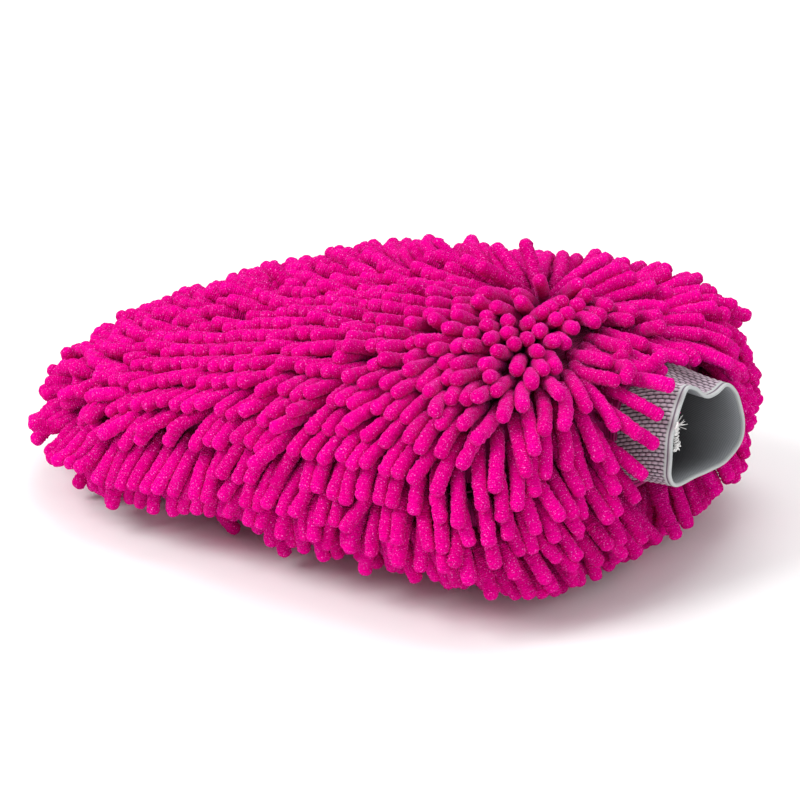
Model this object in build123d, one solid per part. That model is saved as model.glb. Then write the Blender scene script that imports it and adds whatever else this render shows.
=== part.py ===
from build123d import *
import math
import os
import random

import numpy as np

# A chenille wash mitt lying on its lower face, in millimetres. +X runs from the finger end to the
# cuff, +Y across, +Z up. The finished model is moved so that its origin is the bottom centre.

# ---------------------------------------------------------------- driving dimensions

# the sewn pocket that carries the noodles
FINGER_X = -112.0  # tip of the finger end
NECK_X = 113.0  # start of the short neck that the cuff is sewn into
MOUTH_X = 117.0
HALF_WIDTH = 79.0
FINGER_ROUND = 78.0  # length over which the finger end rounds off
SHOULDER_X = 50.0  # where the sides start to close towards the cuff
SHOULDER_POWER = 3.8  # the higher, the squarer the shoulders
SUMMIT_X = 58.0
SUMMIT_Z = 81.0
FINGER_TOP_Z = 29.5
BELLY_Z = 17.5  # underside of the pocket, held up by the lower noodles
FINGER_BELLY_Z = 19.0
BELLY_RISE_X = 72.0  # where the underside starts to rise to the cuff
SEAM_SHARE = 0.45  # height of the side seam between underside and top, 0.5 at the mouth
UPPER_POWER = 2.3
LOWER_POWER = 2.8

SLOPE_STEP = 1.0
MOST_INSET = 4.5  # times the wall, where the pocket's outline turns square to X

BACKING_WALL = 1.2
LINING_GAP = 0.4
LINING_WALL = 0.8

# the elastic cuff
CUFF_INNER_X = 105.0
CUFF_RIM_X = 137.0
CUFF_HALF_WIDTH = 22.5
CUFF_HALF_HEIGHT = 18.5
CUFF_WALL = 1.4
CUFF_POWER = 3.2
CUFF_MOUTH_Z = 56.0
CUFF_RIM_Z = 58.0
CUFF_RIM_Y = 4.0
CUFF_CLEARANCE = 0.55

# the noodles
NOODLE_DIAMETER = 5.2
NOODLE_LENGTH = 25.0
LENGTH_SPREAD = 1.2
UPPER_ROW_SPACING = 7.2
LOWER_ROW_SPACING = 7.8
NOODLE_PITCH = 5.9
ROOT_DEPTH = 0.5  # how far a root is knitted into the backing
FIRST_SHARES = (0.5, 0.5, 1.0, 1.0)  # first root's place, in pitches, of rows as they are filled
SEAM_MARGIN = 3.4  # from the side seam to the edge rows
MOUTH_MARGIN = 4.5  # from the mouth's edge to the nearest root
NOODLE_GAP = 0.12
CUFF_GAP = 0.5
LEAN = 50.0  # degrees from the surface's normal
LEAN_SPREAD = 4.0
TURN_SPREAD = 6.0
LEAN_TRIES = (0, 6, 12, 20, 30, 42)  # degrees less, where a noodle would touch another
TURN_TRIES = (0, 8, -8, 16, -16, 26, -26)  # degrees to either side
CROWN_X = 66.0  # the noodles radiate from this crown
CROWN_Y = -4.0
CROWN_RADIUS = 34.0  # beyond it the noodles lean fully
CROWN_LEAN = 16.0
DOWNWARD_PULL = 1.0
OUTWARD_PULL = 0.9
UNDERSIDE_PULL = 0.6
KEEL_WIDTH = 24.0  # this near the underside's middle line the pile turns back to the finger end
FRONT_START_X = 60.0  # from here to the neck the underside's pile turns towards the cuff

# the threads
THREAD_DIAMETER = 0.9
SEAM_STITCH_LENGTH = 3.2
SEAM_STITCH_PITCH = 4.6
CUFF_STITCH_X = 115.0
CUFF_STITCH_COUNT = 32
CUFF_STITCH_LENGTH = 5.6
OVERLOCK_DIAMETER = 0.8
OVERLOCK_LENGTH = 4.0
OVERLOCK_PITCH = 2.6
OVERLOCK_START_X = 119.0
OVERLOCK_TILT = 30.0  # degrees from upright
OVERLOCK_LIFT = 0.2  # of a thread's middle line, from the cuff's inner face

# how finely the pocket is drawn
SECTION_POINTS = 19
CUFF_POINTS = 28
TIP_STATION = 1.6  # gap from the finger tip to the first section
TIP_STATION_PER_INSET = 3.0
CAP_WALLS = 2.0  # thickness of the closed finger tip, in walls
STATION_GAP = 1.0  # least distance between the cap and the next section
STATIONS = [-109, -105, -99, -91, -82, -70, -55, -38, -18, 4, 26, 45, 58, 69, 79, 88, 96, 103, 108, 111.3]
TRACE_STEP = 0.4
NORMAL_STEP = 0.4
LEAST_HALF_WIDTH = 1.0
LEAST_RISE = 0.5
RING_STEPS = 90
AXIS_SAMPLES = 9
MOUTH_OVERRUN = 4.0  # how far a cutting core runs past the cuff's ends
SEED = 7

NOODLE_RADIUS = NOODLE_DIAMETER / 2
MOUTH_INSET = BACKING_WALL + LINING_GAP + LINING_WALL + CUFF_CLEARANCE
MOUTH_HALF_WIDTH = CUFF_HALF_WIDTH + MOUTH_INSET
MOUTH_HALF_HEIGHT = CUFF_HALF_HEIGHT + MOUTH_INSET


# ---------------------------------------------------------------- the pocket's shape

def blend(a, b, share):
    """Value between a and b, with share from 0 to 1."""
    return a + (b - a) * share


def cuff_centre(x):
    """Centre of the cuff's section at x, as y and z."""
    share = min(max((x - MOUTH_X) / (CUFF_RIM_X - MOUTH_X), 0.0), 1.0)
    return CUFF_RIM_Y * share, blend(CUFF_MOUTH_Z, CUFF_RIM_Z, share)


def shoulder_share(x):
    """How far x is along the shoulder, from 0 at its start to 1 at the neck."""
    return min(max((x - SHOULDER_X) / (NECK_X - SHOULDER_X), 0.0), 1.0)


def half_width(x):
    """Half of the pocket's width at x."""
    if x < FINGER_X + FINGER_ROUND:
        back = (FINGER_X + FINGER_ROUND - x) / FINGER_ROUND
        return HALF_WIDTH * math.sqrt(max(1 - back ** 2, 0.0))
    closed = math.cos(shoulder_share(x) ** SHOULDER_POWER * math.pi / 2)
    return blend(MOUTH_HALF_WIDTH, HALF_WIDTH, closed)


def top_height(x):
    """Height of the pocket's top line at x."""
    if x < SUMMIT_X:
        share = (x - FINGER_X) / (SUMMIT_X - FINGER_X)
        return blend(FINGER_TOP_Z, SUMMIT_Z, math.sin(share * math.pi / 2))
    share = min((x - SUMMIT_X) / (NECK_X - SUMMIT_X), 1.0)
    mouth_top = cuff_centre(MOUTH_X)[1] + MOUTH_HALF_HEIGHT
    return blend(mouth_top, SUMMIT_Z, math.cos(share * math.pi / 2))


def belly_height(x):
    """Height of the pocket's underside at x."""
    if x < FINGER_X + FINGER_ROUND:
        share = (FINGER_X + FINGER_ROUND - x) / FINGER_ROUND
        return blend(BELLY_Z, FINGER_BELLY_Z, share ** 2)
    if x > BELLY_RISE_X:
        share = min((x - BELLY_RISE_X) / (NECK_X - BELLY_RISE_X), 1.0)
        mouth_bottom = cuff_centre(MOUTH_X)[1] - MOUTH_HALF_HEIGHT
        return blend(BELLY_Z, mouth_bottom, share ** 2)
    return BELLY_Z


def seam_height(x):
    """Height of the side seam at x."""
    share = blend(SEAM_SHARE, 0.5, shoulder_share(x))
    return blend(belly_height(x), top_height(x), share)


def signed_power(value, power):
    """Power of a value's size, with the value's sign."""
    return math.copysign(abs(value) ** power, value)


def section_power(x, upper):
    """Squareness of the pocket's section at x: the cuff's own at the neck."""
    power = UPPER_POWER if upper else LOWER_POWER
    return blend(power, CUFF_POWER, shoulder_share(x))


def wall_inset(line, x, thickness):
    """Inset across the section that makes a wall this thick where the line slopes along X."""
    if x >= NECK_X:
        return thickness
    slope = (line(x + SLOPE_STEP) - line(x - SLOPE_STEP)) / (2 * SLOPE_STEP)
    return thickness * min(math.hypot(1, slope), MOST_INSET)


def pocket_point(x, angle, thickness=0.0):
    """Point of the pocket's section at x, under a wall of some thickness."""
    level = seam_height(x)
    upper = math.sin(angle) >= 0
    power = 2 / section_power(x, upper)
    if upper:
        height = top_height(x) - level - wall_inset(top_height, x, thickness)
    else:
        height = level - belly_height(x) - wall_inset(belly_height, x, thickness)
    width = half_width(x) - wall_inset(half_width, x, thickness)
    y = width * signed_power(math.cos(angle), power) + cuff_centre(x)[0]
    return x, y, level + height * signed_power(math.sin(angle), power)


def pocket_arc(x, upper, thickness):
    """Half of the pocket's section at x, from the near seam to the far seam."""
    turn = math.pi if upper else -math.pi
    angles = np.linspace(turn, 0, SECTION_POINTS)
    points = [pocket_point(x, angle, thickness) for angle in angles]
    points[0] = (x, points[0][1], seam_height(x))
    points[-1] = (x, points[-1][1], seam_height(x))
    return points


def layer_section(x, upper, outside, inside=None):
    """Closed face of one half of a cloth layer at x, filled if it has no inside."""
    outer = pocket_arc(x, upper, outside)
    if inside is None:
        return Face(Wire([Edge.make_spline(outer), Edge.make_line(outer[-1], outer[0])]))
    inner = pocket_arc(x, upper, inside)[::-1]
    edges = [
        Edge.make_spline(outer),
        Edge.make_line(outer[-1], inner[0]),
        Edge.make_spline(inner),
        Edge.make_line(inner[-1], outer[0]),
    ]
    return Face(Wire(edges))


def pocket_half(upper, outside, wall):
    """One half of a cloth layer, closed at the finger end and open at the mouth."""
    start = FINGER_X + TIP_STATION + outside * TIP_STATION_PER_INSET
    hollow_start = start + wall * CAP_WALLS
    places = [hollow_start] + [x for x in STATIONS if x > hollow_start + STATION_GAP] + [NECK_X, MOUTH_X]
    shell = loft([layer_section(x, upper, outside, outside + wall) for x in places], ruled=True)
    cap = loft([layer_section(x, upper, outside) for x in (start, hollow_start)], ruled=True)
    return shell + cap


# ---------------------------------------------------------------- the cuff

def cuff_point(x, angle, inset=0.0):
    """Point of the cuff's section at x, drawn inset from its outer face."""
    y, z = cuff_centre(x)
    power = 2 / CUFF_POWER
    width, height = CUFF_HALF_WIDTH - inset, CUFF_HALF_HEIGHT - inset
    return (
        x,
        y + width * signed_power(math.cos(angle), power),
        z + height * signed_power(math.sin(angle), power),
    )


def cuff_core(inset, overrun):
    """Solid inside the cuff's section, from its inner edge to its rim."""
    angles = [2 * math.pi * (k + 0.5) / CUFF_POINTS for k in range(CUFF_POINTS)]
    faces = []
    for x in (CUFF_INNER_X - overrun, MOUTH_X, CUFF_RIM_X + overrun):
        points = [cuff_point(x, a, inset) for a in angles]
        faces.append(Face(Wire([Edge.make_spline(points, periodic=True)])))
    return loft(faces, ruled=True)


def elastic_cuff():
    """The knitted band, open at both ends."""
    return cuff_core(0.0, 0.0) - cuff_core(CUFF_WALL, MOUTH_OVERRUN)


# ---------------------------------------------------------------- round-ended rods

def rod(start, end, diameter):
    """Round-ended rod whose end balls are centred on start and end."""
    start, end = Vector(*start), Vector(*end)
    radius, span = diameter / 2, (end - start).length
    edges = [
        Edge.make_line((0, 0, -radius), (0, 0, span + radius)),
        Edge.make_three_point_arc(
            (0, 0, span + radius),
            (radius * math.sin(math.pi / 4), 0, span + radius * math.cos(math.pi / 4)),
            (radius, 0, span),
        ),
        Edge.make_line((radius, 0, span), (radius, 0, 0)),
        Edge.make_three_point_arc(
            (radius, 0, 0),
            (radius * math.sin(math.pi / 4), 0, -radius * math.cos(math.pi / 4)),
            (0, 0, -radius),
        ),
    ]
    upright = revolve(Face(Wire(edges)), Axis.Z)
    return upright.moved(Plane(origin=start, z_dir=end - start).location).solids()[0]


# ---------------------------------------------------------------- where the noodles go

def face_rings(upper):
    """For each x along the pocket, points from the middle line of one face to its seam."""
    xs = np.arange(FINGER_X + TIP_STATION, NECK_X + TRACE_STEP, TRACE_STEP)
    middle = math.pi / 2 if upper else -math.pi / 2
    rings = {}
    for side, seam in ((-1, middle * 2), (1, 0.0)):
        angles = np.linspace(middle, seam, RING_STEPS)
        rings[side] = np.array([[pocket_point(x, a) for a in angles] for x in xs])
    return rings


def trace_row(rings, girth, margin):
    """Points of one row: those at the same girth from the face's middle line."""
    steps = np.linalg.norm(np.diff(rings, axis=1), axis=2)
    along = np.concatenate([np.zeros((len(rings), 1)), np.cumsum(steps, axis=1)], axis=1)
    points = []
    for ring, lengths in zip(rings, along):
        if girth < lengths[-1] - margin:
            points.append([np.interp(girth, lengths, ring[:, axis]) for axis in range(3)])
    return np.array(points)


def trace_edge(rings):
    """Points of the row beside the side seam, from the mouth round the finger end and back."""
    halves = []
    for side in (-1, 1):
        flipped = rings[side][:, ::-1]
        halves.append(trace_row(flipped, SEAM_MARGIN, 0.0))
    return np.concatenate([halves[0][::-1], halves[1]])


def surface_normal(point, upper):
    """Outward normal of the pocket near a point, from the section's own formula."""
    x, y, z = point

    def level(px, py, pz):
        middle = seam_height(px)
        height = top_height(px) - middle if pz >= middle else middle - belly_height(px)
        power = section_power(px, upper)
        width = max(half_width(px), LEAST_HALF_WIDTH)
        across = abs(py - cuff_centre(px)[0]) / width
        return across ** power + (abs(pz - middle) / max(height, LEAST_RISE)) ** power

    gradient = np.array([
        level(x + NORMAL_STEP, y, z) - level(x - NORMAL_STEP, y, z),
        level(x, y + NORMAL_STEP, z) - level(x, y - NORMAL_STEP, z),
        level(x, y, z + NORMAL_STEP) - level(x, y, z - NORMAL_STEP),
    ])
    return gradient / np.linalg.norm(gradient)


def spread_roots(points, first_share):
    """Roots one pitch apart along a row, the first one a share of a pitch from its end."""
    if len(points) < 2:
        return []
    steps = np.linalg.norm(np.diff(points, axis=0), axis=1)
    along = np.concatenate([[0.0], np.cumsum(steps)])
    places = np.arange(first_share * NOODLE_PITCH, along[-1], NOODLE_PITCH)
    return [np.array([np.interp(s, along, points[:, axis]) for axis in range(3)]) for s in places]


def unit(vector):
    """The vector at length one."""
    return vector / np.linalg.norm(vector)


def comb_direction(root, normal):
    """The way the pile lies at a root: away from the crown, down the sides, inwards beneath."""
    away = np.array([root[0] - CROWN_X, root[1] - CROWN_Y, 0.0])
    away = away / max(np.linalg.norm(away), 1.0)
    pull = np.array([0.0, 0.0, -DOWNWARD_PULL])
    pull = pull + away * OUTWARD_PULL * max(normal[2], 0.0)
    inward = -root[1] / max(abs(root[1]), KEEL_WIDTH)
    front = min(max((root[0] - FRONT_START_X) / (NECK_X - FRONT_START_X), 0.0), 1.0)
    to_finger_end = np.array([abs(inward) - 1.0, inward, 0.0])
    under = blend(to_finger_end, np.array([1.0, 0.0, 0.0]), math.sqrt(front))
    pull = pull + under * UNDERSIDE_PULL * max(-normal[2], 0.0)
    return unit(pull - normal * np.dot(pull, normal))


def lean_angle(root):
    """Lean from the normal in degrees, less at the crown where the noodles stand up."""
    reach = math.hypot(root[0] - CROWN_X, root[1] - CROWN_Y)
    if root[2] < SUMMIT_Z / 2:
        return LEAN
    return blend(CROWN_LEAN, LEAN, min(reach / CROWN_RADIUS, 1.0))


def noodle_axis(root, normal, length, lean, turn):
    """Start and end of a noodle's axis, bent up where it would go under the floor."""
    comb = comb_direction(root, normal)
    across = np.cross(normal, comb)
    comb = comb * math.cos(math.radians(turn)) + across * math.sin(math.radians(turn))
    axis = normal * math.cos(math.radians(lean)) + comb * math.sin(math.radians(lean))
    start = root + normal * (NOODLE_RADIUS - ROOT_DEPTH)
    span = length - NOODLE_DIAMETER
    lowest = (NOODLE_RADIUS - start[2]) / span
    if axis[2] < lowest:
        flat = np.array([axis[0], axis[1], 0.0])
        flat = flat * math.sqrt(max(1 - lowest ** 2, 0.0)) / np.linalg.norm(flat)
        axis = flat + np.array([0.0, 0.0, lowest])
    return start, start + axis * span


def segment_gaps(start, end, starts, ends):
    """Shortest distances from one straight segment to many others."""
    u, v, w = end - start, ends - starts, start - starts
    a, b, c = u @ u, v @ u, np.einsum("ij,ij->i", v, v)
    d, e = w @ u, np.einsum("ij,ij->i", v, w)
    bottom = np.maximum(a * c - b * b, 1e-9)
    s = np.clip((b * e - c * d) / bottom, 0, 1)
    t = np.clip((b * s + e) / c, 0, 1)
    s = np.clip((b * t - d) / a, 0, 1)
    nearest = start + s[:, None] * u - (starts + t[:, None] * v)
    return np.linalg.norm(nearest, axis=1)


def clears_cuff(start, end):
    """Whether a noodle stays outside the cuff."""
    for share in np.linspace(0, 1, AXIS_SAMPLES):
        x, y, z = blend(start, end, share)
        if x < CUFF_INNER_X:
            continue
        centre_y, centre_z = cuff_centre(x)
        room = NOODLE_RADIUS + CUFF_GAP
        across = abs(y - centre_y) / (CUFF_HALF_WIDTH + room)
        up = abs(z - centre_z) / (CUFF_HALF_HEIGHT + room)
        if across ** CUFF_POWER + up ** CUFF_POWER < 1:
            return False
    return True


def place_noodle(root, normal, placed, dice):
    """Axis of a noodle that touches no other, tried at a few turns and leans, or None."""
    length = NOODLE_LENGTH + dice.uniform(-LENGTH_SPREAD, LENGTH_SPREAD)
    lean = lean_angle(root) + dice.uniform(-LEAN_SPREAD, LEAN_SPREAD)
    turn = dice.uniform(-TURN_SPREAD, TURN_SPREAD)
    axes = np.array(placed).reshape(-1, 2, 3)
    near = axes[np.linalg.norm(axes[:, 0] - root, axis=1) < NOODLE_LENGTH * 2]
    for less_lean in LEAN_TRIES:
        for more_turn in TURN_TRIES:
            start, end = noodle_axis(root, normal, length, lean - less_lean, turn + more_turn)
            gaps = segment_gaps(start, end, near[:, 0], near[:, 1])
            if (gaps >= NOODLE_DIAMETER + NOODLE_GAP).all() and clears_cuff(start, end):
                return start, end
    return None


def mouth_distance(root):
    """Distance from a root to the mouth's edge."""
    angles = np.linspace(0, 2 * math.pi, RING_STEPS)
    edge = np.array([pocket_point(MOUTH_X, a) for a in angles])
    return np.linalg.norm(edge - root, axis=1).min()


def fill_row(points, first_share, upper, placed, dice):
    """The noodle axes along one traced row."""
    axes = []
    for root in spread_roots(points, first_share):
        if mouth_distance(root) < MOUTH_MARGIN:
            continue
        axis = place_noodle(root, surface_normal(root, upper), placed, dice)
        if axis is not None:
            axes.append(axis)
            placed.append(axis)
    return axes


def face_traces(upper):
    """One face's rows by name, from the near side to the far side, as girth and points."""
    rings = face_rings(upper)
    face = "upper" if upper else "lower"
    spacing = UPPER_ROW_SPACING if upper else LOWER_ROW_SPACING
    half_rows = int(HALF_WIDTH * 2 / spacing)
    traces = {}
    for number in range(-half_rows, half_rows):
        girth = (number + 0.5) * spacing
        points = trace_row(rings[-1 if girth < 0 else 1], abs(girth), SEAM_MARGIN + NOODLE_PITCH)
        if len(points) * TRACE_STEP > NOODLE_PITCH:
            traces[f"{face}_noodle_row_{len(traces) + 1:02d}"] = girth, points
    return traces, trace_edge(rings)


def noodle_rows():
    """The noodle axes of every row by name, placed from the underside's middle to the crown."""
    dice = random.Random(SEED)
    lower, lower_edge = face_traces(False)
    upper, upper_edge = face_traces(True)
    order = sorted(lower, key=lambda name: abs(lower[name][0]))
    order += ["lower_noodle_edge_row", "upper_noodle_edge_row"]
    order += sorted(upper, key=lambda name: -abs(upper[name][0]))
    lower["lower_noodle_edge_row"] = 0.0, lower_edge
    upper["upper_noodle_edge_row"] = 0.0, upper_edge
    placed, rows = [], {}
    for count, name in enumerate(order):
        traces = upper if name in upper else lower
        share = FIRST_SHARES[count % len(FIRST_SHARES)]
        rows[name] = fill_row(traces[name][1], share, name in upper, placed, dice)
    return rows


# ---------------------------------------------------------------- the threads

def seam_path():
    """The side seam, from the mouth round the finger end and back to the mouth."""
    xs = np.arange(FINGER_X + TIP_STATION, CUFF_STITCH_X - MOUTH_OVERRUN, TRACE_STEP)
    near = [pocket_point(x, math.pi) for x in xs]
    far = [pocket_point(x, 0.0) for x in xs]
    return np.array(near[::-1] + far)


def side_seam_stitches():
    """Short stitches laid along the side seam, half sunk in both halves."""
    path = seam_path()
    along = np.concatenate([[0.0], np.cumsum(np.linalg.norm(np.diff(path, axis=0), axis=1))])
    half = (SEAM_STITCH_LENGTH - THREAD_DIAMETER) / 2
    stitches = []
    for middle in np.arange(SEAM_STITCH_PITCH, along[-1] - SEAM_STITCH_PITCH, SEAM_STITCH_PITCH):
        ends = [
            [np.interp(middle + shift, along, path[:, axis]) for axis in range(3)]
            for shift in (-half, half)
        ]
        stitches.append(rod(ends[0], ends[1], THREAD_DIAMETER))
    return stitches


def cuff_stitches():
    """Ring of stitches through the backing, the lining and the cuff."""
    stitches = []
    centre = np.array([CUFF_STITCH_X, *cuff_centre(CUFF_STITCH_X)])
    for number in range(CUFF_STITCH_COUNT):
        angle = 2 * math.pi * (number + 0.5) / CUFF_STITCH_COUNT
        middle = np.array(cuff_point(CUFF_STITCH_X, angle, (CUFF_WALL - MOUTH_INSET) / 2))
        outward = unit(middle - centre)
        reach = outward * (CUFF_STITCH_LENGTH - THREAD_DIAMETER) / 2
        stitches.append(rod(middle - reach, middle + reach, THREAD_DIAMETER))
    return stitches


def overlock_threads():
    """Slanted threads that bind the cuff's side seam, inside its near wall."""
    threads = []
    half = (OVERLOCK_LENGTH - OVERLOCK_DIAMETER) / 2
    for number in range(int((CUFF_RIM_X - OVERLOCK_START_X) / OVERLOCK_PITCH)):
        x = OVERLOCK_START_X + (number + 0.5) * OVERLOCK_PITCH
        _, y, z = cuff_point(x, math.pi, CUFF_WALL + OVERLOCK_LIFT)
        tilt = math.radians(OVERLOCK_TILT)
        reach = np.array([math.sin(tilt), 0.0, math.cos(tilt)]) * half
        middle = np.array([x, y, z])
        threads.append(rod(middle - reach, middle + reach, OVERLOCK_DIAMETER))
    return threads


# ---------------------------------------------------------------- the whole mitt

def build_nodes():
    """Every node of the mitt, by name."""
    nodes = {}
    for side, upper in (("upper", True), ("lower", False)):
        nodes[f"{side}_backing"] = pocket_half(upper, 0.0, BACKING_WALL)
        nodes[f"{side}_lining"] = pocket_half(upper, BACKING_WALL + LINING_GAP, LINING_WALL)
    nodes["elastic_cuff"] = elastic_cuff()
    nodes["side_seam_stitching"] = side_seam_stitches()
    nodes["cuff_stitching"] = cuff_stitches()
    nodes["cuff_seam_overlock"] = overlock_threads()
    for name, axes in noodle_rows().items():
        nodes[name] = [rod(start, end, NOODLE_DIAMETER) for start, end in axes]
    return nodes


def as_compound(shape):
    """One compound of the shape's separate solids."""
    solids = shape if isinstance(shape, list) else list(shape.solids())
    return Compound(children=solids)


def write_nodes():
    """Write each node's STEP, with the origin at the mitt's bottom centre."""
    os.makedirs("parts", exist_ok=True)
    for name in os.listdir("parts"):
        os.remove(os.path.join("parts", name))
    compounds = {name: as_compound(shape) for name, shape in build_nodes().items()}
    boxes = [shape.bounding_box() for shape in compounds.values()]
    low = [min(getattr(box.min, axis) for box in boxes) for axis in "XYZ"]
    high = [max(getattr(box.max, axis) for box in boxes) for axis in "XYZ"]
    home = Location((-(low[0] + high[0]) / 2, -(low[1] + high[1]) / 2, -low[2]))
    for name, shape in compounds.items():
        export_step(shape.moved(home), os.path.join("parts", f"{name}.step"))
    size = [round(b - a, 1) for a, b in zip(low, high)]
    count = sum(len(shape.solids()) for shape in compounds.values())
    print(len(compounds), "nodes,", count, "solids, overall size", size, "moved by", home.position)


write_nodes()
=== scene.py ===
import bpy
import math
import numpy as np
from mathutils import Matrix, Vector
from mathutils.bvhtree import BVHTree


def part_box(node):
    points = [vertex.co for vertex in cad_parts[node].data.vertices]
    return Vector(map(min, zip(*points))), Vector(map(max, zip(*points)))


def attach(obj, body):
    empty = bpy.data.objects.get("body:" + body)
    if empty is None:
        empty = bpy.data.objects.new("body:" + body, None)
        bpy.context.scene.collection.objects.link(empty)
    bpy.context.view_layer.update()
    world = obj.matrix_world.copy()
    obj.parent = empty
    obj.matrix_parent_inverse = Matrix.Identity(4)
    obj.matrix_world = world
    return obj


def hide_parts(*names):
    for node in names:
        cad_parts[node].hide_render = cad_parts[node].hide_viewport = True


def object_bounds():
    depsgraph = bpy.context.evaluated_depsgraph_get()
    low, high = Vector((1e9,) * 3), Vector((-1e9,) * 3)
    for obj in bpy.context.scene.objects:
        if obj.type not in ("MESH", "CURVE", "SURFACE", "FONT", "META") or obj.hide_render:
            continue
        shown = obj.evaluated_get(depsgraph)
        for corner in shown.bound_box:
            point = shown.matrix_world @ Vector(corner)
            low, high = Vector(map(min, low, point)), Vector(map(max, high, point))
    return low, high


# A magenta chenille wash mitt with a grey elastic cuff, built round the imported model. Lengths are
# in metres: MM turns millimetres into them. +X runs from the finger end to the cuff, +Z is up.

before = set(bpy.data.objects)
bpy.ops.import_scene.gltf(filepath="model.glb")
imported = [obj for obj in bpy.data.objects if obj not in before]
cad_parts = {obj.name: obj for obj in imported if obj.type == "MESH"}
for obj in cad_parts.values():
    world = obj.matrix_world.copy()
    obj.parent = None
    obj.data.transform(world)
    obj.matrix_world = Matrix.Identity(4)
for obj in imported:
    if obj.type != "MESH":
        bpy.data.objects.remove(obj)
cad_low, cad_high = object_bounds()

MM = 0.001
SEED = 11
BODY = "root"
CAD_MIDDLE = (cad_low + cad_high) / 2


def new_object(name, mesh):
    """Object of a mesh, in the scene."""
    piece = bpy.data.objects.new(name, mesh)
    bpy.context.scene.collection.objects.link(piece)
    return piece


def quad_mesh(name, points, quads, triangles=None):
    """Mesh of quads, and triangles where there are some, from arrays."""
    triangles = np.zeros((0, 3), int) if triangles is None else triangles
    mesh = bpy.data.meshes.new(name)
    mesh.vertices.add(len(points))
    mesh.vertices.foreach_set("co", np.asarray(points, np.float32).ravel())
    corners = np.concatenate([quads.ravel(), triangles.ravel()]).astype(np.int32)
    sizes = np.concatenate([np.full(len(quads), 4), np.full(len(triangles), 3)])
    mesh.loops.add(len(corners))
    mesh.loops.foreach_set("vertex_index", corners)
    mesh.polygons.add(len(sizes))
    starts = np.concatenate([[0], np.cumsum(sizes)[:-1]])
    mesh.polygons.foreach_set("loop_start", starts.astype(np.int32))
    mesh.polygons.foreach_set("use_smooth", np.ones(len(sizes), bool))
    mesh.update(calc_edges=True)
    return mesh


def add_attribute(mesh, name, values):
    """Float attribute with one value for each vertex."""
    attribute = mesh.attributes.new(name, "FLOAT", "POINT")
    attribute.data.foreach_set("value", np.asarray(values, np.float32))


def finish_piece(piece, material, slot, *nodes):
    """Give a piece its material and its body, and hide the CAD nodes that it stands for. The slot is not
    used.
    """
    piece.data.materials.append(material)
    if nodes:
        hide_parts(*nodes)
    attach(piece, BODY)
    return piece


def unit(vectors):
    """The vectors at length one."""
    return vectors / np.maximum(np.linalg.norm(vectors, axis=-1, keepdims=True), 1e-12)


def blend(a, b, share):
    """Values between a and b, with share from 0 to 1."""
    return a + (b - a) * share


def ramp(values, start, length):
    """Shares that are 0 where the values are at start and 1 a length beyond it."""
    return np.clip((values - start) / length, 0.0, 1.0)


def follow(values, rate, at_zero):
    """Shares that follow the values at a rate, held between 0 and 1."""
    return np.clip(values * rate + at_zero, 0.0, 1.0)


# ---------------------------------------------------------------- reading the CAD nodes

MERGE_STEP = 0.002 * MM  # vertices nearer than this are one


def node_arrays(name):
    """Vertices and triangles of a CAD node, with its doubled vertices merged."""
    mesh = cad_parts[name].data
    points = np.zeros(len(mesh.vertices) * 3, np.float32)
    mesh.vertices.foreach_get("co", points)
    points = points.reshape(-1, 3).astype(float)
    mesh.calc_loop_triangles()
    triangles = np.zeros(len(mesh.loop_triangles) * 3, np.int32)
    mesh.loop_triangles.foreach_get("vertices", triangles)
    keys = np.round(points / MERGE_STEP).astype(np.int64) + 2 ** 20
    keys = (keys[:, 0] << 42) + (keys[:, 1] << 21) + keys[:, 2]
    _, first, merged = np.unique(keys, return_index=True, return_inverse=True)
    return points[first], merged[triangles].reshape(-1, 3)


def loose_parts(count, triangles):
    """Label of the separate part that each vertex belongs to."""
    labels = np.arange(count)
    while True:
        lowest = labels[triangles].min(axis=1)
        before = labels.copy()
        for corner in range(3):
            np.minimum.at(labels, triangles[:, corner], lowest)
        labels = labels[labels]
        if (labels == before).all():
            return labels


def rod_axes(name, radius):
    """Ends of the axis of each round-ended rod in a node, radius in from its own ends."""
    points, triangles = node_arrays(name)
    labels = loose_parts(len(points), triangles)
    axes = []
    for label in np.unique(labels):
        own = points[labels == label]
        one = own[np.argmax(np.linalg.norm(own - own.mean(0), axis=1))]
        other = own[np.argmax(np.linalg.norm(own - one, axis=1))]
        inward = unit(other - one) * radius
        axes.append((one + inward, other - inward))
    return np.array(axes)


def node_tree(name):
    """Search tree of a CAD node's surface."""
    points, triangles = node_arrays(name)
    return BVHTree.FromPolygons(points.tolist(), triangles.tolist())


# ---------------------------------------------------------------- the cloth layers

SLEEVE_STATIONS = 120
SLEEVE_ROWS = SLEEVE_STATIONS + 1  # with the row that closes the finger end
SLEEVE_ANGLES = 49
FINGER_MARGIN = 0.3 * MM  # from the hollow's end to the first row
MOUTH_MARGIN = 0.05 * MM
CAST_FROM = 0.3  # the outer face is found by rays that start this far from the middle
EDGE_TILT = 0.02  # the seam's own edge is cast from this angle above it
STATION_STEP = 0.01 * MM  # vertices whose X agrees to this were drawn together
FACE_SAMPLES = 40  # fewest vertices in a drawn station


def layer_outline(name):
    """For each X at which a half layer was drawn: X, the seam's height, its middle, half width and rise."""
    points, _ = node_arrays(name)
    places = np.round(points[:, 0] / STATION_STEP) * STATION_STEP
    rows = []
    for place in np.unique(places):
        own = points[places == place]
        if len(own) < FACE_SAMPLES:
            continue
        seam = own[np.argmin(own[:, 1])][2]
        reach = own[:, 2].max() - seam, own[:, 2].min() - seam
        middle = (own[:, 1].min() + own[:, 1].max()) / 2
        rows.append((place, seam, middle, np.ptp(own[:, 1]) / 2, max(reach, key=abs)))
    return np.array(rows)


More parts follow.
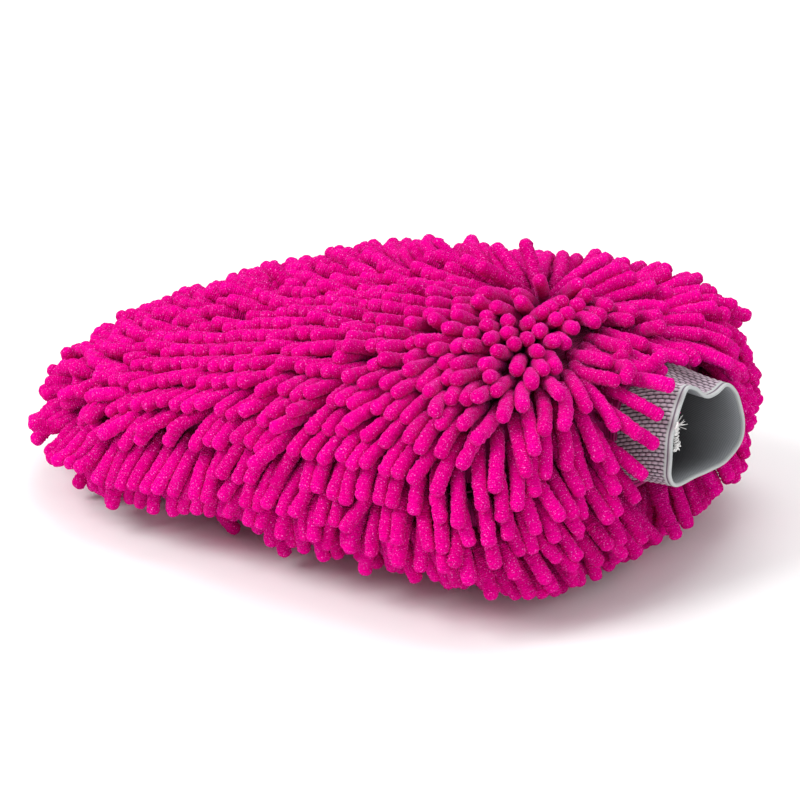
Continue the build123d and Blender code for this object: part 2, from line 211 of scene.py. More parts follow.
def cast_layer(name, outside):
    """Grid of points on one face of a half layer, from the near seam to the far, closed at the finger end."""
    tree = node_tree(name)
    outline = layer_outline(name)
    places = np.linspace(outline[0, 0] + FINGER_MARGIN, outline[-1, 0] - MOUTH_MARGIN, SLEEVE_STATIONS)
    grid = []
    for place in places:
        _, seam, middle, width, rise = [np.interp(place, outline[:, 0], column) for column in outline.T]
        centre = Vector((place, middle, seam))
        ring = []
        for angle in np.linspace(math.pi, 0.0, SLEEVE_ANGLES):
            tilt = min(max(angle, EDGE_TILT), math.pi - EDGE_TILT)
            ray = Vector((0.0, width * math.cos(tilt), rise * math.sin(tilt))).normalized()
            start = centre + ray * CAST_FROM if outside else centre
            hit = tree.ray_cast(start, -ray if outside else ray)[0]
            ring.append(hit if hit is not None else centre + ray * width)
        grid.append(ring)
    grid = np.array(grid)
    closed = grid[:1].copy()
    closed[..., 0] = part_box(name)[0][0] if outside else outline[0, 0]
    closed[..., 2] = outline[0, 1]
    return np.concatenate([closed, grid])


def grid_quads(rows, columns, closed=False):
    """Quads of a grid of points, closed round its columns if need be."""
    last = columns if closed else columns - 1
    one, two = np.meshgrid(np.arange(rows - 1), np.arange(last), indexing="ij")
    beside = (two + 1) % columns
    corners = [one * columns + two, one * columns + beside]
    corners += [(one + 1) * columns + beside, (one + 1) * columns + two]
    return np.stack(corners, axis=-1).reshape(-1, 4)


# ---------------------------------------------------------------- the elastic cuff

# The mouth as it droops, as shares of the cuff's half width and half height, from the middle of
# the near side over the top to the far side and back along the bottom.
MOUTH_OUTLINE = (
    (-1.09, 0.15), (-1.01, 0.40), (-0.86, 0.74), (-0.66, 0.99), (-0.38, 0.88), (-0.08, 0.62),
    (0.20, 0.57), (0.52, 0.62), (0.80, 0.38), (0.98, 0.02), (1.10, -0.42), (1.00, -0.78),
    (0.56, -0.99), (0.09, -0.98), (-0.36, -0.93), (-0.90, -0.88), (-1.11, -0.62), (-1.11, -0.25),
)
CUFF_POWER = 3.2  # of the neck's rounded box: 2 is an ellipse
NECK_LENGTH = 10.0 * MM  # of the cuff that keeps the shape of the pocket's mouth
CUFF_WALL = 1.3 * MM
RIB_COUNT = 98
COLUMNS_PER_RIB = 6
CUFF_COLUMNS = RIB_COUNT * COLUMNS_PER_RIB
ROW_STEP = 0.4 * MM
BUMP_PITCH = 2.4 * MM
RIB_HEIGHT = 0.6 * MM
HEM_WIDTH = 2.6 * MM
GROOVE_AT = 1.5 * MM  # back from the rim
GROOVE_WIDTH = 0.3 * MM
GROOVE_DEPTH = 0.35 * MM
HEM_INSET = RIB_HEIGHT * 0.2  # the smooth edge lies under the tops of the ribs
HEM_RELIEF = 0.8
VALLEY = 0.25  # height of the knit between two bumps of a rib, as a share
STAGGER_DRIFT = 0.06  # how far the bumps of neighbouring ribs wander
SHADE_DEPTH = 9.0 * MM  # over which painted shade darkens the inside
CURVE_STEPS = 40  # of each stretch of an outline
OUTLINE_POINTS = 48
SKIN_RINGS = 15
END_REACH = 0.1 * MM  # vertices this near an end of the cuff belong to it
EDGE_ROWS = 9
INNER_ROWS = 50
OUTSIDE, HEM, INSIDE = 0.0, 1.0, 2.0


def loop_through(points, samples):
    """Closed smooth curve through the points, at evenly spaced places along it."""
    points = np.array(points, float)
    before, after, beyond = (np.roll(points, shift, axis=0) for shift in (1, -1, -2))
    fine = []
    for t in np.linspace(0, 1, CURVE_STEPS, endpoint=False):
        slope = (after - before) / 2
        bow = before - 2.5 * points + 2 * after - beyond / 2
        twist = 1.5 * (points - after) + (beyond - before) / 2
        fine.append(points + t * slope + t * t * bow + t ** 3 * twist)
    fine = np.stack(fine, axis=1).reshape(-1, points.shape[1])
    closed = np.concatenate([fine, fine[:1]])
    along = np.concatenate([[0.0], np.cumsum(np.linalg.norm(np.diff(closed, axis=0), axis=1))])
    places = np.linspace(0, along[-1], samples, endpoint=False)
    return np.stack([np.interp(places, along, column) for column in closed.T], axis=1)


def cuff_end(place):
    """Middle in Y and Z, and half width and half height, of the CAD cuff's end at X = place."""
    points, _ = node_arrays("elastic_cuff")
    own = points[np.abs(points[:, 0] - place) < END_REACH][:, 1:]
    return (own.min(0) + own.max(0)) / 2, np.ptp(own, axis=0) / 2


CUFF_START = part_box("elastic_cuff")[0][0]
CUFF_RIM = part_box("elastic_cuff")[1][0]
START_MIDDLE, CUFF_HALF = cuff_end(CUFF_START)
RIM_MIDDLE, _ = cuff_end(CUFF_RIM)
TURNS = np.linspace(math.pi, -math.pi, OUTLINE_POINTS, endpoint=False)
NECK_OUTLINE = np.stack([
    np.sign(np.cos(TURNS)) * np.abs(np.cos(TURNS)) ** (2 / CUFF_POWER),
    np.sign(np.sin(TURNS)) * np.abs(np.sin(TURNS)) ** (2 / CUFF_POWER),
], axis=1)
NECK_LOOP = loop_through(NECK_OUTLINE * CUFF_HALF, CUFF_COLUMNS)
MOUTH_LOOP = loop_through(np.array(MOUTH_OUTLINE) * CUFF_HALF, CUFF_COLUMNS)


def cuff_ring(x, inset):
    """Ring round the cuff at x, drawn inset from its outer face."""
    share = ramp(x - CUFF_START, NECK_LENGTH, CUFF_RIM - CUFF_START - NECK_LENGTH)
    share = math.sin(share * math.pi / 2)
    ring = blend(NECK_LOOP + START_MIDDLE, MOUTH_LOOP + RIM_MIDDLE, share)
    along = np.roll(ring, -1, axis=0) - np.roll(ring, 1, axis=0)
    inward = unit(np.stack([along[:, 1], -along[:, 0]], axis=1))
    ring = ring + inward * np.reshape(inset, (-1, 1))
    return np.concatenate([np.full((len(ring), 1), x), ring], axis=1)


def cuff_skin():
    """Points and quads of the cuff's outer face, for the noodles to lie on."""
    places = np.linspace(CUFF_START, CUFF_RIM, SKIN_RINGS)
    rings = [cuff_ring(x, 0.0)[::COLUMNS_PER_RIB] for x in places]
    return np.concatenate(rings), grid_quads(len(rings), RIB_COUNT, closed=True)


def knit_relief(x):
    """Height of the ribbed knit round the cuff at x, as a share of the full height."""
    columns = np.arange(CUFF_COLUMNS)
    rib = columns // COLUMNS_PER_RIB
    across = (columns % COLUMNS_PER_RIB) / COLUMNS_PER_RIB - 0.5
    stagger = rib % 2 / 2 + STAGGER_DRIFT * np.sin(rib * 2.4)
    wave = np.abs(np.sin(math.pi * (x / BUMP_PITCH + stagger)))
    return np.abs(np.cos(math.pi * across)) ** 0.8 * (VALLEY + (1 - VALLEY) * wave ** 0.7)


def groove(gap):
    """Depth of the groove beside the rim, as a share, at this gap from the rim."""
    return math.exp(-((gap - GROOVE_AT) / GROOVE_WIDTH) ** 2)


def knitted_cuff():
    """The cuff: coarse ribbed knit outside, a smooth edge with a groove, and a fine face inside."""
    rings, relief_and_shade, face = [], [], []
    edge = CUFF_WALL / 2
    for x in np.arange(CUFF_START, CUFF_RIM - edge, ROW_STEP):
        gap = CUFF_RIM - x
        hem = min(max((HEM_WIDTH + ROW_STEP - gap) / ROW_STEP, 0.0), 1.0)
        height = blend(knit_relief(x), HEM_RELIEF, hem)
        rings.append(cuff_ring(x, RIB_HEIGHT * (1 - height) + GROOVE_DEPTH * groove(gap)))
        # Painted shade: the groove beside the rim takes away the height, so the groove is painted dark.
        relief_and_shade.append(height * (1 - groove(gap)))
        face.append(np.full(CUFF_COLUMNS, HEM if hem > 0.5 else OUTSIDE))
    for turn in np.linspace(0, math.pi, EDGE_ROWS):
        inset = HEM_INSET + edge * (1 - math.cos(turn))
        rings.append(cuff_ring(CUFF_RIM - edge, inset) + (edge * math.sin(turn), 0, 0))
        relief_and_shade.append(np.full(CUFF_COLUMNS, HEM_RELIEF))
        face.append(np.full(CUFF_COLUMNS, HEM))
    for x in np.linspace(CUFF_RIM - 1.5 * edge, CUFF_START, INNER_ROWS):
        gap = CUFF_RIM - x
        rings.append(cuff_ring(x, HEM_INSET + CUFF_WALL - GROOVE_DEPTH / 2 * groove(gap)))
        on_hem = gap < GROOVE_AT
        # Painted shade: the inside darkens the further it is from the rim, and the edge a little in the
        # groove.
        height = HEM_RELIEF - groove(gap) / 2 if on_hem else math.exp(-gap / SHADE_DEPTH)
        relief_and_shade.append(np.full(CUFF_COLUMNS, height))
        face.append(np.full(CUFF_COLUMNS, HEM if on_hem else INSIDE))
    rows = len(rings)
    quads = grid_quads(rows, CUFF_COLUMNS, closed=True)
    around = np.arange(CUFF_COLUMNS)
    beside, last = (around + 1) % CUFF_COLUMNS, (rows - 1) * CUFF_COLUMNS
    closing = np.stack([last + around, last + beside, beside, around], axis=1)
    mesh = quad_mesh("elastic_cuff_knit", np.concatenate(rings), np.concatenate([quads, closing])[:, ::-1])
    add_attribute(mesh, "relief_and_shade", np.concatenate(relief_and_shade))
    add_attribute(mesh, "face", np.concatenate(face))
    add_attribute(mesh, "around", np.tile(around / CUFF_COLUMNS, rows))
    return new_object("elastic_cuff_knit", mesh)


# ---------------------------------------------------------------- cloth layers as pieces

# width and length of each piece as it is cut, and the area of the cut, in metres
LAYER_SLOTS = {"backing": "backing_knit", "lining": "lining_cloth"}
LAYER_FLAT = {
    ("upper", "backing"): ((0.186, 0.240), 0.0387),
    ("lower", "backing"): ((0.184, 0.235), 0.0377),
    ("upper", "lining"): ((0.181, 0.236), 0.0370),
    ("lower", "lining"): ((0.179, 0.231), 0.0361),
}


def cloth_piece(name, node):
    """Closed mesh of a half layer, from the faces of its CAD node."""
    faces = [cast_layer(node, outside) for outside in (True, False)]
    size = SLEEVE_ROWS * SLEEVE_ANGLES
    sheet = grid_quads(SLEEVE_ROWS, SLEEVE_ANGLES)
    index = np.arange(size).reshape(SLEEVE_ROWS, SLEEVE_ANGLES)
    border = np.concatenate([index[0], index[1:, -1], index[-1, -2::-1], index[-2:0:-1, 0]])
    beside = np.roll(border, -1)
    edge = np.stack([border, border + size, beside + size, beside], axis=1)
    quads = np.concatenate([sheet, sheet[:, ::-1] + size, edge])
    if node.startswith("upper"):
        quads = quads[:, ::-1]
    points = np.concatenate([face.reshape(-1, 3) for face in faces])
    return new_object(name, quad_mesh(name, points, quads))


# ---------------------------------------------------------------- threads

ASKEW = (0.31, 0.52, 0.79)  # a direction that no thread runs in
STITCH_POINTS = 13
STITCH_STRAND = 0.24 * MM
STITCH_PLY = 0.2 * MM
STITCH_TURNS = 2.5

SEAM_AT = np.array((-1.02, 0.38)) * CUFF_HALF  # the cuff's own seam, on the mouth's outline
SEAM_FROM_RIM = 18.0 * MM  # how far in the overlocked seam is drawn
SEAM_TO_RIM = 1.2 * MM
SEAM_POINTS = 12
SEAM_DEPTH = HEM_INSET + CUFF_WALL  # of the cuff's inner face, under its outer one
RIDGE_RADIUS = 0.95 * MM
RIDGE_SIDES = 12
RIDGE_TAIL = slice(2, 6)  # the tail's points that the folded edge runs on to
LOOP_RADIUS = 1.25 * MM
LOOP_PITCH = 0.95 * MM
LOOP_POINTS = 14
LOOP_STRAND = 0.2 * MM
LOOP_SPREAD = (0.75, 0.5)  # least reach of a loop and how much is added at most
TAIL_LENGTH = 8.5 * MM
TAIL_FROM_RIM = 0.9 * MM
TAIL_LIFT = 0.3 * MM
TAIL_STEP = 3  # knit columns between two points of the tail
TAIL_DRIFT = np.array((0.6, 1.2, 0.0)) * MM  # out of the mouth and away from the wall at the tail's end
TAIL_HOOK = np.array([(0.1, -0.5, -0.8), (-0.1, -1.4, -1.0), (-0.2, -1.9, -0.4)]) * MM
TAIL_RADIUS = 0.75 * MM
SECOND_TAIL = np.array((0.3, 0.2, 0.0)) * MM  # from the first winding of the tail to the second
EYE_FROM_RIM = 0.1 * MM
EYE_RADIUS = 1.05 * MM
EYE_STRAND = 0.4 * MM
EYE_TURN = 1.97 * math.pi  # not quite closed
EYE_POINTS = 26
EYE_UP, EYE_OUT = np.array((0.1, 0.5, 0.86)), np.array((0.6, -0.75, 0.3))
FRAY_COUNT = 14
FRAY_POINTS = 8
FRAY_STRAND = 0.07 * MM
FRAY_SIDES = 5
FRAY_LENGTH = 3.6 * MM
FRAY_WAY = (0.35, 1.0, 0.25)
FRAY_SPREAD = 0.55
FRAY_BOW = 0.35


def tube_mesh(name, paths, radius, sides=7):
    """One mesh of closed tubes of even radius along open paths of points."""
    points, quads, fans, start = [], [], [], 0
    angles = np.arange(sides) * 2 * math.pi / sides
    around = np.arange(sides)
    beside = (around + 1) % sides
    for path in paths:
        path = np.array(path, float)
        ways = unit(np.gradient(path, axis=0))
        side = unit(np.cross(ways[0], ASKEW))
        for place, way in zip(path, ways):
            side = unit(side - way * (side @ way))
            circle = np.outer(np.cos(angles), side) + np.outer(np.sin(angles), np.cross(way, side))
            points.append(place + circle * radius)
        points.append(np.array([path[0] - ways[0] * radius / 2, path[-1] + ways[-1] * radius / 2]))
        last, size = (len(path) - 1) * sides, len(path) * sides
        quads.append(grid_quads(len(path), sides, closed=True)[:, ::-1] + start)
        fans.append(np.stack([np.full(sides, size), around, beside], axis=1) + start)
        fans.append(np.stack([np.full(sides, size + 1), last + beside, last + around], axis=1) + start)
        start += size + 2
    mesh = quad_mesh(name, np.concatenate(points), np.concatenate(quads), np.concatenate(fans))
    return new_object(name, mesh)


def plied(path, ply_radius, turns):
    """Two strands that twist round each other along a path."""
    path = np.array(path, float)
    ways = unit(np.gradient(path, axis=0))
    side = unit(np.cross(ways, ASKEW))
    other = np.cross(ways, side)
    angles = (np.linspace(0, turns, len(path)) * 2 * math.pi)[:, None]
    spin = side * np.cos(angles) + other * np.sin(angles)
    return [path + spin * ply_radius, path - spin * ply_radius]


def stitch_paths(node):
    """Two-ply paths of the stitches of a CAD node of stitches."""
    paths = []
    for one, two in rod_axes(node, 0.0):
        shares = np.linspace(0, 1, STITCH_POINTS)[:, None]
        paths += plied(one + (two - one) * shares, STITCH_PLY, STITCH_TURNS)
    return paths


def looped(path, radius, pitch, dice):
    """Thread that winds loosely round a path."""
    path = np.array(path, float)
    along = np.concatenate([[0.0], np.cumsum(np.linalg.norm(np.diff(path, axis=0), axis=1))])
    count = int(along[-1] / pitch * LOOP_POINTS)
    places = np.linspace(0, along[-1], count)
    middle = np.stack([np.interp(places, along, column) for column in path.T], axis=1)
    ways = unit(np.gradient(middle, axis=0))
    side = unit(np.cross(ways, ASKEW))
    other = np.cross(ways, side)
    angles = places / pitch * 2 * math.pi
    loops = np.arange(count) // LOOP_POINTS
    reach = radius * (LOOP_SPREAD[0] + LOOP_SPREAD[1] * dice.random(loops.max() + 2))
    reach = np.interp(np.arange(count) / LOOP_POINTS, np.arange(len(reach)), reach)
    spin = side * np.cos(angles)[:, None] + other * np.sin(angles)[:, None]
    return middle + spin * reach[:, None]


def cuff_seam():
    """The cuff's own seam inside its near wall: folded edge, wound threads, eye and frayed ends."""
    dice = np.random.default_rng(SEED + 2)
    seam = int(np.argmin(np.linalg.norm(MOUTH_LOOP - SEAM_AT, axis=1)))
    depth = SEAM_DEPTH + RIDGE_RADIUS * 1.6
    places = np.linspace(CUFF_RIM - SEAM_FROM_RIM, CUFF_RIM - SEAM_TO_RIM, SEAM_POINTS)
    inner = [cuff_ring(x, depth)[seam] for x in places]
    column = np.linalg.norm(MOUTH_LOOP[1] - MOUTH_LOOP[0])
    rim_ring = cuff_ring(CUFF_RIM - TAIL_FROM_RIM, depth - TAIL_LIFT)
    shifts = range(0, int(TAIL_LENGTH / column), TAIL_STEP)
    tail = np.array([rim_ring[(seam - shift) % CUFF_COLUMNS] for shift in shifts])
    tail = tail + np.linspace(0, 1, len(tail))[:, None] ** 2 * TAIL_DRIFT
    tail = np.concatenate([tail, tail[-1] + TAIL_HOOK])
    folded = np.concatenate([inner, tail[RIDGE_TAIL]])
    ridge = tube_mesh("cuff_seam_edge", [folded], RIDGE_RADIUS, RIDGE_SIDES)
    wound = [
        looped(inner, LOOP_RADIUS, LOOP_PITCH, dice),
        looped(tail, TAIL_RADIUS, LOOP_PITCH * 0.8, dice),
        looped(tail + SECOND_TAIL, TAIL_RADIUS * 1.2, LOOP_PITCH * 1.3, dice),
    ]
    threads = tube_mesh("cuff_seam_overlock_thread", wound, LOOP_STRAND)
    knot = cuff_ring(CUFF_RIM + EYE_FROM_RIM, CUFF_WALL / 2)[seam]
    turns = np.linspace(0, EYE_TURN, EYE_POINTS)[:, None]
    bent = knot + EYE_RADIUS * (np.cos(turns) * EYE_UP + np.sin(turns) * EYE_OUT)
    eye = tube_mesh("cuff_seam_eye", [bent], EYE_STRAND)
    frays = []
    shares = np.linspace(0, 1, FRAY_POINTS)[:, None]
    for _ in range(FRAY_COUNT):
        way = unit(dice.normal(0.0, FRAY_SPREAD, 3) + FRAY_WAY)
        bow = dice.normal(0.0, FRAY_BOW, 3)
        frays.append(knot + (way * shares + bow * shares ** 2) * FRAY_LENGTH * dice.uniform(0.5, 1.2))
    return ridge, threads, eye, tube_mesh("cuff_seam_frayed_ends", frays, FRAY_STRAND, FRAY_SIDES)


# ---------------------------------------------------------------- how the noodles are combed

# Each noodle first points from its root in a direction between the cloth's normal (a lean of 0) and
# the way in which the pile is combed along the cloth (a lean of 90 degrees).
CROWN_LEAN = math.radians(30)
TOP_LEAN = math.radians(62)
SIDE_LEAN = math.radians(68)
SHOULDER_LEAN = math.radians(20)
FAR_LEAN = math.radians(80)
FINGER_LEAN = math.radians(26)
MOUTH_LEAN = math.radians(84)
STRAY_SHARE = 0.06
STRAY_LEAN = math.radians(24)  # how much less a stray noodle leans
AIM_SPREAD = 0.06

COMB_REACH = 9.0 * MM  # the pile at a root lies as the pile this near it does
SAME_SIDE = 0.4  # least cosine between the normals of two such roots
CROWN_FROM_MIDDLE = Vector((56.0, 22.0)) * MM  # where the upper pile parts
CROWN_REACH = 13.0 * MM
CROWN_LEAST_Z = 0.3  # of the normals of cloth that belongs to the crown
OUTWARD_PULL = 0.9
FORWARD_PUSH = 1.1
FAR_DROP = 2.2
MOUTH_HALF_WIDTH = 34.0 * MM
MOUTH_RING = 14.0 * MM  # from the cuff's inner end to the ring that the pile is laid along
MOUTH_REACH = 17.0 * MM  # of that ring's hold on the pile
MOUTH_RISE = 0.12  # how far the pile beside the cuff stands off it

# Where a share starts and the length over which it gets to 1: from the mitt's middle to the far side,
# and along the mitt.
FAR_WIDTH = (0.0, 30.0 * MM)
FRONT_X = (60.0 * MM, 40.0 * MM)
MOUTH_X = (86.0 * MM, 14.0 * MM)
# How a share follows the height over the cuff's middle, in this unit, and the X or Z of the cloth's
# unit normal: its rate, and what it is at 0.
CUFF_UNIT = 6.0 * MM
CUFF_Z = (1.0, 1.5)
COMBED_Z = (4.0, 0.0)
LEVEL_Z = (2.0, 0.0)
LOW_Z = (-1.0, 0.6)
MOUTH_Z = (2.0, 0.3)
SHOULDER_Z = (-2.0, 0.7)
SHOULDER_NORMAL_X = (2.2, 0.0)
FINGER_Z = (3.0, 1.0)
FINGER_NORMAL_X = (-1.6, -0.3)


def flat_on(vectors, normals):
    """The vectors laid flat on surfaces with these normals, at length one."""
    return unit(vectors - normals * np.sum(vectors * normals, axis=1, keepdims=True))


def cloth_normals(roots, tree):
    """Directions from the cloth to the roots."""
    normals = []
    for root in roots:
        place, _, _, _ = tree.find_nearest(root)
        normals.append(np.array(Vector(root) - place))
    return unit(np.array(normals))


def combing(roots, normals, combs, from_crown):
    """Directions along the cloth in which the pile is combed, from those of the CAD's rods."""
    down = np.array((0.0, 0.0, -1.0))
    forward = np.array((1.0, 0.0, 0.0))
    upright = np.clip(normals[:, 2:], 0.0, 1.0)
    gaps = np.linalg.norm(from_crown, axis=1)
    radial = from_crown / np.maximum(gaps, MM)[:, None] * OUTWARD_PULL * upright + down
    combs = blend(combs, flat_on(radial, normals), follow(upright, *COMBED_Z))
    front = ramp(roots[:, :1], *FRONT_X)
    low = follow(normals[:, 2:], *LOW_Z)
    far = ramp(roots[:, 1:2] - CAD_MIDDLE[1], *FAR_WIDTH)
    combs = combs + front * low * FORWARD_PUSH * forward + front * far * FAR_DROP * down
    return flat_on(combs, normals)


def leaning(roots, normals, from_crown, dice):
    """How far each noodle leans from the cloth's normal."""
    normal_x, normal_z = normals[:, 0], normals[:, 2]
    upright = np.clip(normal_z, 0.0, 1.0)
    across = roots[:, 1] - CAD_MIDDLE[1]
    far = ramp(across, *FAR_WIDTH)
    lean = blend(SIDE_LEAN, TOP_LEAN, upright)
    lean = blend(lean, FAR_LEAN, ramp(roots[:, 0], *FRONT_X) * far * follow(upright, *LEVEL_Z))
    shoulder = follow(normal_x, *SHOULDER_NORMAL_X) * follow(normal_z, *SHOULDER_Z)
    lean = blend(lean, SHOULDER_LEAN, shoulder)
    mouth = ramp(roots[:, 0], *MOUTH_X) * follow(normal_z, *MOUTH_Z)
    lean = blend(lean, MOUTH_LEAN, mouth * (np.abs(across) < MOUTH_HALF_WIDTH))
    finger = follow(normal_x, *FINGER_NORMAL_X) * follow(normal_z, *FINGER_Z)
    lean = blend(lean, FINGER_LEAN, finger * (1 - far))
    reach = np.minimum(np.linalg.norm(from_crown, axis=1) / CROWN_REACH, 1.0)
    lean = blend(CROWN_LEAN, lean, np.where(normal_z > CROWN_LEAST_Z, reach, 1.0))
    return lean - STRAY_LEAN * (dice.random(len(roots)) < STRAY_SHARE)


def combed(axes, tree, dice):
    """Directions that the roots of the combed pile point in, and the axes that it curls about."""
    roots = axes[:, 0]
    normals = cloth_normals(roots, tree)
    combs = flat_on(unit(axes[:, 1] - roots), normals)
    gaps = np.linalg.norm(roots[:, None] - roots[None], axis=2)
    weights = np.exp(-(gaps / COMB_REACH) ** 2) * (normals @ normals.T > SAME_SIDE)
    normals = unit(weights @ normals)
    combs = unit(weights @ combs)
    from_crown = np.zeros_like(roots)
    from_crown[:, :2] = roots[:, :2] - np.array(CAD_MIDDLE)[:2] - np.array(CROWN_FROM_MIDDLE)
    combs = combing(roots, normals, combs, from_crown)
    lean = leaning(roots, normals, from_crown, dice)[:, None]
    aims = unit(normals * np.cos(lean) + combs * np.sin(lean))
    mouth = cuff_ring(CUFF_START + MOUTH_RING, 0.0)[::COLUMNS_PER_RIB]
    away = np.linalg.norm(roots[:, None] - mouth[None], axis=2).min(axis=1)
    height = (roots[:, 2] - START_MIDDLE[1]) / CUFF_UNIT
    beside = np.exp(-(away / MOUTH_REACH) ** 4) * follow(height, *CUFF_Z)
    along_cuff = unit(normals * MOUTH_RISE + (1.0, 0.0, 0.0))
    return unit(blend(aims, along_cuff, beside[:, None])), np.cross(normals, combs)


# ---------------------------------------------------------------- how the noodles settle

NOODLE_RADIUS = 2.6 * MM  # out to the ends of the pile
CONTACT_RADIUS = 2.42 * MM  # where two noodles press on each other
FLOOR_GAP = NOODLE_RADIUS * 1.08
LINKS = 8
STEPS = 170
SWEEPS = 2
PAIR_EVERY = 5
PAIR_REACH = 2 * CONTACT_RADIUS + 1.2 * MM
SURFACE_EVERY = 3
SURFACE_REACH = 4 * NOODLE_RADIUS
DAMPING = 0.86
SAG_PER_STEP = 0.08 * MM
BEND_STIFFNESS = 0.42
PUSH_STIFFNESS = 0.6
NECK_GIVE = 0.4  # how freely the first joint moves, beside the others' 1
NATURAL_BEND = math.radians(1.6)  # spread of the bend at each joint
CURL = math.radians(2.2)  # bend towards the cloth at each joint


def link_pairs(points, reach):
    """Pairs of noodle points of different noodles that are nearer than reach, found on a grid."""
    cells = np.floor(points / reach).astype(np.int64) + 2 ** 12
    keys = (cells[:, 0] << 28) + (cells[:, 1] << 14) + cells[:, 2]
    order = np.argsort(keys, kind="stable")
    ordered = keys[order]
    found = []
    for x in (-1, 0, 1):
        for y in (-1, 0, 1):
            for z in (-1, 0, 1):
                sought = keys + (x << 28) + (y << 14) + z
                low = np.searchsorted(ordered, sought, "left")
                high = np.searchsorted(ordered, sought, "right")
                counts = high - low
                one = np.repeat(np.arange(len(points)), counts)
                shifts = np.arange(counts.sum()) - np.repeat(np.cumsum(counts) - counts, counts)
                two = order[np.repeat(low, counts) + shifts]
                keep = one // (LINKS + 1) < two // (LINKS + 1)
                found.append(np.stack([one[keep], two[keep]]))
    one, two = np.concatenate(found, axis=1)
    near = np.linalg.norm(points[one] - points[two], axis=1) < reach
    return one[near], two[near]


def push_apart(points, give, pairs):
    """Move pairs of points that are nearer than two contact radii apart."""
    one, two = pairs
    apart = points[one] - points[two]
    gap = np.linalg.norm(apart, axis=1)
    deep = (gap < 2 * CONTACT_RADIUS) & (give[one] + give[two] > 0)
    one, two, apart, gap = one[deep], two[deep], apart[deep], np.maximum(gap[deep], 1e-9)
    share = (2 * CONTACT_RADIUS - gap) / gap / (give[one] + give[two]) * PUSH_STIFFNESS
    for axis in range(3):
        step = apart[:, axis] * share
        points[:, axis] += np.bincount(one, step * give[one], len(points))
        points[:, axis] -= np.bincount(two, step * give[two], len(points))


def push_out(chains, tree):
    """Move the noodle points that are sunk in a surface out of it."""
    flat = chains.reshape(-1, 3)
    for index in range(len(flat)):
        if index % (LINKS + 1) == 0:
            continue
        place, normal, _, _ = tree.find_nearest(flat[index], SURFACE_REACH)
        if place is None:
            continue
        height = (Vector(flat[index]) - place).dot(normal)
        if height < CONTACT_RADIUS:
            flat[index] += np.array(normal) * (CONTACT_RADIUS - height)


def settle(axes, tree):
    """Let the noodles bend, sag and press on each other, their roots held, and return their points."""
    dice = np.random.default_rng(SEED)
    count = len(axes)
    spans = np.linalg.norm(axes[:, 1] - axes[:, 0], axis=1)
    aims, curl_axes = combed(axes, tree, dice)
    aims = unit(aims + dice.normal(0.0, AIM_SPREAD, aims.shape))
    shares = np.linspace(0, 1, LINKS + 1)
    chains = axes[:, None, 0] + aims[:, None] * (shares[:, None] * spans[:, None, None])
    link = spans / LINKS
    bends = dice.normal(0.0, NATURAL_BEND, (count, 1, 3))
    bends = bends + dice.normal(0.0, NATURAL_BEND / 2, (count, LINKS, 3)) + curl_axes[:, None] * CURL
    give = np.ones((count, LINKS + 1))
    give[:, 0] = 0.0
    give[:, 1] = NECK_GIVE
    give = give.ravel()
    before = chains.copy()
    for step in range(STEPS):
        moved = chains + (chains - before) * DAMPING
        moved[:, 1:, 2] -= SAG_PER_STEP
        moved[:, 0] = axes[:, 0]
        before = chains
        chains = moved
        if step % PAIR_EVERY == 0:
            pairs = link_pairs(chains.reshape(-1, 3), PAIR_REACH)
        for _ in range(SWEEPS):
            ahead = chains[:, 0] + aims * link[:, None]
            chains[:, 1] += (ahead - chains[:, 1]) * BEND_STIFFNESS
            for joint in range(1, LINKS):
                along = chains[:, joint] - chains[:, joint - 1]
                ahead = chains[:, joint] + along + np.cross(bends[:, joint], along)
                chains[:, joint + 1] += (ahead - chains[:, joint + 1]) * BEND_STIFFNESS
            push_apart(chains.reshape(-1, 3), give, pairs)
            for joint in range(LINKS):
                along = chains[:, joint + 1] - chains[:, joint]
                length = np.linalg.norm(along, axis=1, keepdims=True)
                chains[:, joint + 1] -= along * (1 - link[:, None] / length)
        if step % SURFACE_EVERY == 0:
            push_out(chains, tree)
        chains[:, :, 2] = np.maximum(chains[:, :, 2], FLOOR_GAP)
    return chains


# ---------------------------------------------------------------- the noodles' meshes

AROUND = 18
BODY_RINGS = 34
ROOT_CAP = (0.5, 0.85)  # depths of the rings of the round ends, as shares of the radius
TIP_CAP = (0.45, 0.72, 0.88, 0.965)
TIP_POWER = 2.5
SKIN_SHARE = 0.95  # of the radius, under the pile's ends
OWN_SPREAD = 0.025  # how much one noodle is thicker than another
FUZZ = 0.13 * MM
LUMP = 0.07 * MM
SLOW_SHARE = 0.6  # of the lumps that are longer than a ring
CRIMP_SHIFT = 9  # each noodle starts its crimps somewhere else, by up to this many lengths


def spline_weights(shares):
    """Weights that take a chain's points to a smooth curve through them, at these shares of it."""
    weights = np.zeros((len(shares), LINKS + 1))
    for row, share in enumerate(shares):
        place = share * LINKS
        start = min(int(place), LINKS - 1)
        t = place - start
        basis = (
            (-t + 2 * t * t - t ** 3) / 2,
            (2 - 5 * t * t + 3 * t ** 3) / 2,
            (t + 4 * t * t - 3 * t ** 3) / 2,
            (t ** 3 - t * t) / 2,
        )
        for shift, weight in zip((-1, 0, 1, 2), basis):
            index = start + shift
            if index < 0:
                weights[row, 0] += 2 * weight
                weights[row, 1] -= weight
            elif index > LINKS:
                weights[row, LINKS] += 2 * weight
                weights[row, LINKS - 1] -= weight
            else:
                weights[row, index] += weight
    return weights


